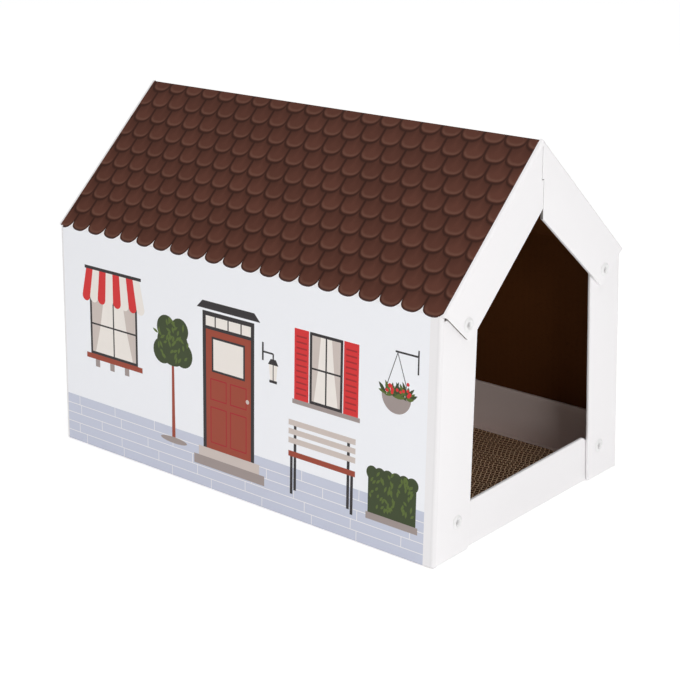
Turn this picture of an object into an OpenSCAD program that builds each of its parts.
/* [House] */
// Width over the outer faces of the side walls, at the eaves
eave_w = 254; // [230:1:300]
// Width over the outer faces of the side walls, at the ground
foot_w = 272; // [256:1:310]
// Length over the outer faces of the gable flaps
house_l = 453; // [360:1:560]
// Height of the eave folds above the ground
eave_h = 209; // [180:1:250]
// Height of the ridge fold above the ground
ridge_h = 326; // [300:1:370]
// Thickness of the corrugated board
board_t = 3; // [2:0.5:4]

/* [Gable flaps] */
// Width of the upright flap on each wall end
post_w = 47; // [42:1:62]
// Width of the sloping flap on each roof end, square to the roof
rafter_w = 42.5; // [39:0.5:54]
// Degrees by which the lower end of a rafter flap is cut back from square
rafter_end_cut = 5; // [0:1:12]
// Distance from the eave fold to the lower end of a rafter flap
rafter_end_gap = 1; // [0.5:0.5:4]
// Radius on the free corners of the flaps
flap_corner_r = 6; // [3:1:9]
// Radius on the foot of an upright flap
post_foot_r = 3; // [1:0.5:6]
// Gap between the two rafter flaps at the ridge seam
seam_gap = 1.4; // [0.8:0.2:2]
// Sideways jog of the ridge seam, less than its gap so that the flaps swing clear of each other
seam_jog = 1.2; // [0.2:0.2:1.8]
// Drop from the ridge to the jog in the seam
seam_jog_drop = 33; // [24:1:42]
// Extra width of the right rafter flaps at the seam
seam_flare = 5; // [0:0.5:8]

/* [Base tray] */
// Height of the sill across the doorway
sill_h = 43; // [41:1:70]
// Radius on the top corners of the sill
sill_corner_r = 5; // [2:1:8]
// How far each end of the raised part of the sill runs in behind the posts
sill_lap = 0; // [0:1:24]
// Board left above a lower rivet on the low ears of the sill
ear_margin = 4; // [3:1:8]
// Height of the side lips of the tray
lip_h = 50; // [36:1:80]

/* [Scratch pad] */
// Thickness of the scratch pad
pad_t = 16; // [10:1:30]
// Room between the pad and the left lip of the tray
pad_left_gap = 5; // [4:0.5:20]
// Room between the pad and the right lip of the tray
pad_right_gap = 38; // [4:0.5:60]
// Room between the pad's ends and the rivet caps
pad_end_gap = 2; // [1:0.5:8]
// Number of corrugated strips glued side by side
pad_strips = 46; // [30:1:60]
// Width of the groove between two strips
pad_groove_w = 0.8; // [0.4:0.1:1.5]
// Depth of the groove between two strips
pad_groove_h = 1.2; // [0.5:0.1:3]

/* [Snap rivets] */
// Diameter of the rivet heads
rivet_head_d = 12; // [10:0.5:14]
// Height of the stud's head
rivet_head_h = 2.4; // [1.6:0.1:4]
// Diameter of the dimple in the stud's head
rivet_dimple_d = 4; // [3:0.5:6]
// Depth of the dimple in the stud's head
rivet_dimple_h = 1.2; // [0.3:0.1:1.2]
// Diameter of the stud's shank
rivet_shank_d = 5; // [4:0.5:6]
// Diameter at the end of the stud's tapered tip
rivet_tip_d = 3; // [2:0.5:3.5]
// Length of the tip inside the cap
rivet_tip_l = 3.5; // [2.5:0.5:4.5]
// Thickness of the cap's flange
cap_flange_t = 1.2; // [0.8:0.1:2]
// Wall of the cap's socket
cap_wall = 1.2; // [0.8:0.1:1.6]
// Distance from a rivet to the free edge of the upright flap
post_rivet_edge = 17; // [9:1:20]
// Distance from an upper rivet to the free edge of the rafter flap
rafter_rivet_edge = 13; // [9:1:16]
// Height of the lower rivets
low_rivet_z = 30; // [20:1:36]

/* [Clearances] */
// Gap between a flap and the fold that it turns on
crease_gap = 0.25; // [0.15:0.05:0.4]
// Gap between two boards that lie on each other
lap_gap = 0.3; // [0.2:0.05:0.6]
// Gap between two panels that meet at a fixed fold
fold_gap = 0.1; // [0.05:0.05:0.2]
// Gap between the tray and the shell round it
tray_gap = 0.4; // [0.2:0.1:2]
// Gap under the foot of an upright flap
foot_gap = 0.5; // [0.3:0.1:1.5]
// Gap under a rivet's head or flange, and under the pad
seat_gap = 0.15; // [0.1:0.05:0.3]
// Play of a rivet's shank in the boards, all round
hole_play = 1; // [0.8:0.1:1.5]
// Play of a rivet's tip in the mouth of its cap, all round
socket_play = 0.25; // [0.15:0.05:0.5]
// Play of an upper cap in its hole in the back panel, all round
cap_play = 1; // [0.6:0.1:2]

/* [Hidden] */

// Circles, and the steps in a rounded corner or a domed head
$fn = 64;
arc_steps = 8;

// Colours of the boards, the pad and the rivets
PRINT = [0.91, 0.91, 0.94];
TILE = [0.36, 0.24, 0.2];
WHITE = [0.95, 0.95, 0.95];
KRAFT = [0.42, 0.32, 0.24];
PLASTIC = [0.88, 0.88, 0.86];

// The house is alike on both sides of x = 0, and its walls lean in from the ground to the eaves
eave_half = eave_w / 2;
foot_half = foot_w / 2;
half_l = house_l / 2;
lean = atan2(foot_half - eave_half, eave_h);
pitch = atan2(ridge_h - eave_h, eave_half);
slope_l = norm([eave_half, ridge_h - eave_h]);

// A folded edge is a half round as thick as the board, and a flap turns about its centre
crease_r = board_t;
roof_axis_y = half_l - crease_r;

// The boards at a gable lie in three layers: rafters outside, posts behind them, tray behind those
post_y = half_l - board_t - lap_gap;
wall_axis_y = post_y - crease_r;
tray_y = post_y - board_t - lap_gap;
tray_in_y = tray_y - board_t;

// Depths of the tray's lips, square to the wall
lip_n = board_t + tray_gap;
lip_in_n = lip_n + board_t;

// Rivet lengths: the shank goes through two boards, then its tip goes into the cap
grip = 2 * board_t + lap_gap;
cap_bore_d = rivet_shank_d + 2 * socket_play;
cap_socket_d = cap_bore_d + 2 * cap_wall;
cap_l = rivet_tip_l + seat_gap + cap_wall;
shank_hole_d = rivet_shank_d + 2 * hole_play;

// x on the left wall at height z and depth n, square to its outer face
function wall_x(z, n) = -foot_half + z * tan(lean) + n / cos(lean);

// Point in the gable's plane: a up the left slope from the eave, q square to it, into the house
function on_gable(a, q) = [
  -eave_half + a * cos(pitch) + q * sin(pitch),
  eave_h + a * sin(pitch) - q * cos(pitch)
];

// Distance up the slope at which the line at depth q crosses the upright line at x
function slope_at(x, q) = (x + eave_half - q * sin(pitch)) / cos(pitch);

// Height at which that same line crosses the upright line at x
function slope_z(x, q) = on_gable(slope_at(x, q), q)[1];

// Point at depth n from the left wall and depth q from the left slope
function eave_point(n, q) =
  let (z = (q + (foot_half - eave_half - n / cos(lean)) * sin(pitch) - eave_h * cos(pitch))
    / (tan(lean) * sin(pitch) - cos(pitch)))
  [wall_x(z, n), z];

// Inner end of the eave mitre
eave_in = eave_point(board_t, board_t);

// Places of the rivets on the left side, as x and z
rivet_n = post_w - post_rivet_edge;
up_rivet = eave_point(rivet_n, rafter_w - rafter_rivet_edge);
low_rivet = [wall_x(low_rivet_z, rivet_n), low_rivet_z];

// Ears of the sill, and the size and place of the pad
ear_h = low_rivet_z + rivet_head_d / 2 + ear_margin;
sill_half = sill_lap - wall_x(sill_h, post_w);
floor_half = -wall_x(board_t, lip_in_n) - fold_gap;
pad_w = 2 * floor_half - pad_left_gap - pad_right_gap;
pad_x = pad_left_gap - floor_half;
pad_z = board_t + seat_gap;
pad_half_l = tray_in_y - seat_gap - cap_l - pad_end_gap;
strip_w = pad_w / pad_strips;

// Arc that rounds the corner at p, from the side of point a to the side of point b
function rounded(a, p, b, r) =
  let (
    u = (a - p) / norm(a - p),
    v = (b - p) / norm(b - p),
    half = acos(u * v) / 2,
    mid = (u + v) / norm(u + v),
    centre = p + mid * r / sin(half),
    from = p + u * r / tan(half) - centre,
    to = p + v * r / tan(half) - centre,
    start = atan2(from[1], from[0]),
    step = atan2(from[0] * to[1] - from[1] * to[0], from * to) / arc_steps
  )
  [for (i = [0 : arc_steps]) centre + r * [cos(start + i * step), sin(start + i * step)]];

// Turns an outline's point over to the other side of x = 0
flip = [[-1, 0], [0, 1]];

// Copies on the other side and at the other end of the house
module right() { mirror([1, 0, 0]) children(); }
module rear() { mirror([0, 1, 0]) children(); }

// A flat board in a gable, from its outline, with its outer face at -y_outer
module gable_board(y_outer) {
  translate([0, board_t - y_outer, 0])
    rotate([90, 0, 0])
      linear_extrude(height = board_t)
        children();
}

// Frame of the left slope: X up the slope, Y into the house, Z along the house
module on_slope() {
  translate([-eave_half, 0, eave_h])
    rotate([0, -pitch, 0])
      rotate([-90, 0, 0])
        children();
}

// Frame of the left wall: X into the house, Y along it, Z up the wall
module on_wall() {
  translate([-foot_half, 0, 0])
    rotate([0, lean, 0])
      children();
}

// A section across the house, drawn along its whole length
module across_house(length) {
  translate([0, length / 2, 0])
    rotate([90, 0, 0])
      linear_extrude(height = length)
        children();
}

// A rivet lies along Y, and points out of the front
module at_rivet(place, y_outer) {
  translate([place[0], -y_outer, place[1]])
    rotate([90, 0, 0])
      children();
}

module rivet_hole(place, d) {
  at_rivet(place, 0) cylinder(d = d, h = house_l);
}

// Half round of a fold, with its flat side towards the middle of the board
module half_round(x, y) {
  intersection() {
    translate([x, y]) circle(r = crease_r);
    translate([x - crease_r, y > 0 ? y : y - crease_r]) square([2 * crease_r, crease_r]);
  }
}

module wall_panel() {
  intersection() {
    // Plan of the wall with the folds at its two ends
    on_wall()
      translate([0, 0, -board_t])
        linear_extrude(height = eave_h + 2 * board_t) {
          translate([0, -wall_axis_y]) square([board_t, 2 * wall_axis_y]);
          half_round(crease_r, -wall_axis_y);
          half_round(crease_r, wall_axis_y);
        }
    // Flat foot, and mitre under the roof
    across_house(house_l)
      polygon([
        [-foot_half, 0],
        [wall_x(0, 2 * crease_r), 0],
        [wall_x(eave_in[1] - fold_gap, 2 * crease_r), eave_in[1] - fold_gap],
        [eave_in[0], eave_in[1] - fold_gap],
        [-eave_half, eave_h - fold_gap]
      ]);
  }
}

module roof_panel() {
  intersection() {
    // Section along the house, with the folds at its two ends
    on_slope()
      rotate([0, 90, 0])
        linear_extrude(height = slope_l + board_t) {
          translate([-roof_axis_y, 0]) square([2 * roof_axis_y, board_t]);
          roof_fold(-1);
          roof_fold(1);
        }
    // Mitres at the eave and the ridge
    across_house(house_l)
      polygon([
        [-eave_half, eave_h],
        eave_in,
        on_gable(slope_at(eave_in[0], board_t) + crease_r, 3 * crease_r),
        [-fold_gap / 2, slope_z(-fold_gap / 2, 3 * crease_r)],
        [-fold_gap / 2, slope_z(-fold_gap / 2, 0)]
      ]);
  }
}

// Half round at one end of a roof section: first axis along the house, second into it
module roof_fold(end) {
  intersection() {
    translate([end * roof_axis_y, crease_r]) circle(r = crease_r);
    translate([end > 0 ? roof_axis_y : -half_l, 0]) square([crease_r, 2 * crease_r]);
  }
}

module post_flap() {
  // Top of the flap, clear of the fold at the roof's end
  top_z = eave_in[1] - crease_r * cos(pitch) - lap_gap;
  wall_top = [wall_x(top_z, crease_r), top_z];
  wall_foot = [wall_x(foot_gap, crease_r), foot_gap];
  top = [wall_x(top_z, post_w), top_z];
  foot = [wall_x(foot_gap, post_w), foot_gap];
  difference() {
    gable_board(post_y)
      polygon(concat(
        [wall_top, wall_foot],
        rounded(wall_foot, foot, top, post_foot_r),
        rounded(foot, top, wall_top, flap_corner_r)
      ));
    // Room for the fold at the wall
    on_wall()
      translate([crease_r, -wall_axis_y, -board_t])
        cylinder(r = crease_r + crease_gap, h = eave_h + 2 * board_t);
    rivet_hole(up_rivet, shank_hole_d);
    rivet_hole(low_rivet, shank_hole_d);
  }
}

// side is 1 where the lower half of the flap reaches over the seam, and -1 where the upper half does
module rafter_flap(side) {
  seam_w = side > 0 ? rafter_w : rafter_w + seam_flare;
  low_x = (side * seam_jog - seam_gap) / 2;
  high_x = (-side * seam_jog - seam_gap) / 2;
  jog_z = ridge_h - seam_jog_drop - side * seam_gap / 2;
  // Top of the flap, clear of both folds at the ridge
  top_z = ridge_h - (2 * crease_r + crease_gap) / cos(pitch) - abs(high_x) * tan(pitch);
  top_x = -(slope_z(0, board_t) - top_z) / tan(pitch);
  end_a = rafter_end_gap;
  fold_end = on_gable(end_a + board_t * tan(rafter_end_cut), board_t);
  low_corner = on_gable(end_a + rafter_w * tan(rafter_end_cut), rafter_w);
  seam_foot = [low_x, slope_z(low_x, seam_w)];
  difference() {
    gable_board(half_l)
      polygon(concat(
        [fold_end],
        rounded(fold_end, low_corner, seam_foot, flap_corner_r),
        [seam_foot, [low_x, jog_z], [high_x, jog_z], [high_x, top_z], [min(top_x, high_x), top_z]]
      ));
    // Room for the fold at the roof
    on_slope()
      translate([0, crease_r, -roof_axis_y])
        rotate([0, 90, 0])
          cylinder(r = crease_r + crease_gap, h = slope_l);
    rivet_hole(up_rivet, shank_hole_d);
  }
}

// Outline with its foot on the ground, a level top and round top corners
module low_board(foot_x, top_x, h) {
  top = [top_x, h];
  foot = [foot_x, 0];
  polygon(concat(
    [flip * foot, foot],
    rounded(foot, top, flip * top, sill_corner_r),
    rounded(top, flip * top, flip * foot, sill_corner_r)
  ));
}

module sill() {
  difference() {
    gable_board(tray_y) {
      low_board(sill_half, sill_half, sill_h);
      low_board(-wall_x(0, lip_n), -wall_x(ear_h, lip_n), ear_h);
    }
    rivet_hole(low_rivet, shank_hole_d);
    right() rivet_hole(low_rivet, shank_hole_d);
  }
}

module back() {
  foot = [wall_x(0, lip_n), 0];
  shoulder = eave_point(lip_n, lip_n);
  difference() {
    gable_board(tray_y)
      polygon([foot, flip * foot, flip * shoulder, [0, slope_z(0, lip_n)], shoulder]);
    back_holes();
    right() back_holes();
  }
}

module back_holes() {
  rivet_hole(low_rivet, shank_hole_d);
  rivet_hole(up_rivet, rivet_head_d + 2 * cap_play);
}

module lip() {
  across_house(2 * (tray_in_y - fold_gap))
    polygon([
      [wall_x(0, lip_n), 0],
      [wall_x(0, lip_in_n), 0],
      [wall_x(lip_h, lip_in_n), lip_h],
      [wall_x(lip_h, lip_n), lip_h]
    ]);
}

// Section of the pad: strips side by side, with a groove between neighbours above and below
function pad_edge(z, inward, order) = [
  for (i = order)
    let (x = pad_x + i * strip_w)
      each [
        [x - pad_groove_w / 2, z],
        [x - pad_groove_w / 2, z + inward * pad_groove_h],
        [x + pad_groove_w / 2, z + inward * pad_groove_h],
        [x + pad_groove_w / 2, z]
      ]
];

function reversed(points) = [for (i = [len(points) - 1 : -1 : 0]) points[i]];

// Domed head of a rivet from its rim to the edge of the dimple, as radius and height
function dome(r_out, r_in, h) = [
  for (i = [0 : arc_steps])
    let (r = r_out + (r_in - r_out) * i / arc_steps)
      [r, h * (1 + sqrt(1 - pow(r / r_out, 2))) / 2]
];

// Stud: seated at z = 0 on the outer board, head above, shank and tip below
module stud() {
  rotate_extrude()
    polygon(concat(
      [[0, -grip - rivet_tip_l], [rivet_tip_d / 2, -grip - rivet_tip_l], [rivet_shank_d / 2, -grip],
       [rivet_shank_d / 2, seat_gap], [rivet_head_d / 2, seat_gap]],
      [for (p = dome(rivet_head_d / 2, rivet_dimple_d / 2, rivet_head_h)) p + [0, seat_gap]],
      [[rivet_dimple_d / 2 - rivet_dimple_h, rivet_head_h - rivet_dimple_h + seat_gap],
       [0, rivet_head_h - rivet_dimple_h + seat_gap]]
    ));
}

// Cap: flange on the inner board, with a closed socket round the tip of the stud
module cap() {
  bore_l = rivet_tip_l + seat_gap;
  translate([0, 0, -grip - seat_gap])
    rotate_extrude()
      polygon([
        [cap_bore_d / 2, 0],
        [rivet_head_d / 2, 0],
        [rivet_head_d / 2, -cap_flange_t],
        [cap_socket_d / 2, -cap_flange_t],
        [cap_socket_d / 2, -cap_l],
        [0, -cap_l],
        [0, -bore_l],
        [cap_bore_d / 2, -bore_l]
      ]);
}

module upper_stud() { color(PLASTIC) at_rivet(up_rivet, half_l) stud(); }
module upper_cap() { color(PLASTIC) at_rivet(up_rivet, half_l) cap(); }
module lower_stud() { color(PLASTIC) at_rivet(low_rivet, post_y) stud(); }
module lower_cap() { color(PLASTIC) at_rivet(low_rivet, post_y) cap(); }

module left_wall() { color(PRINT) wall_panel(); }
module right_wall() { color(PRINT) right() wall_panel(); }
module left_roof() { color(TILE) roof_panel(); }
module right_roof() { color(TILE) right() roof_panel(); }

module front_left_post() { color(WHITE) post_flap(); }
module front_right_post() { color(WHITE) right() post_flap(); }
module rear_left_post() { color(WHITE) rear() post_flap(); }
module rear_right_post() { color(WHITE) rear() right() post_flap(); }

module front_left_rafter() { color(WHITE) rafter_flap(1); }
module front_right_rafter() { color(WHITE) right() rafter_flap(-1); }
module rear_left_rafter() { color(WHITE) rear() rafter_flap(1); }
module rear_right_rafter() { color(WHITE) rear() right() rafter_flap(-1); }

module tray_floor() {
  y = tray_in_y - fold_gap;
  color(WHITE)
    translate([-floor_half, -y, 0])
      cube([2 * floor_half, 2 * y, board_t]);
}

module tray_left_lip() { color(WHITE) lip(); }
module tray_right_lip() { color(WHITE) right() lip(); }
module front_sill() { color(WHITE) sill(); }
module back_panel() { color(WHITE) rear() back(); }

module scratch_pad() {
  joints = [1 : pad_strips - 1];
  color(KRAFT)
    across_house(2 * pad_half_l)
      polygon(concat(
        [[pad_x, pad_z]],
        pad_edge(pad_z, 1, joints),
        [[pad_x + pad_w, pad_z], [pad_x + pad_w, pad_z + pad_t]],
        reversed(pad_edge(pad_z + pad_t, -1, joints)),
        [[pad_x, pad_z + pad_t]]
      ));
}

left_wall();
right_wall();
left_roof();
right_roof();
front_left_post();
front_right_post();
rear_left_post();
rear_right_post();
front_left_rafter();
front_right_rafter();
rear_left_rafter();
rear_right_rafter();
tray_floor();
tray_left_lip();
tray_right_lip();
front_sill();
back_panel();
scratch_pad();
upper_stud();  // front_left_upper_stud
right() upper_stud();  // front_right_upper_stud
rear() upper_stud();  // rear_left_upper_stud
rear() right() upper_stud();  // rear_right_upper_stud
lower_stud();  // front_left_lower_stud
right() lower_stud();  // front_right_lower_stud
rear() lower_stud();  // rear_left_lower_stud
rear() right() lower_stud();  // rear_right_lower_stud
upper_cap();  // front_left_upper_cap
right() upper_cap();  // front_right_upper_cap
rear() upper_cap();  // rear_left_upper_cap
rear() right() upper_cap();  // rear_right_upper_cap
lower_cap();  // front_left_lower_cap
right() lower_cap();  // front_right_lower_cap
rear() lower_cap();  // rear_left_lower_cap
rear() right() lower_cap();  // rear_right_lower_cap
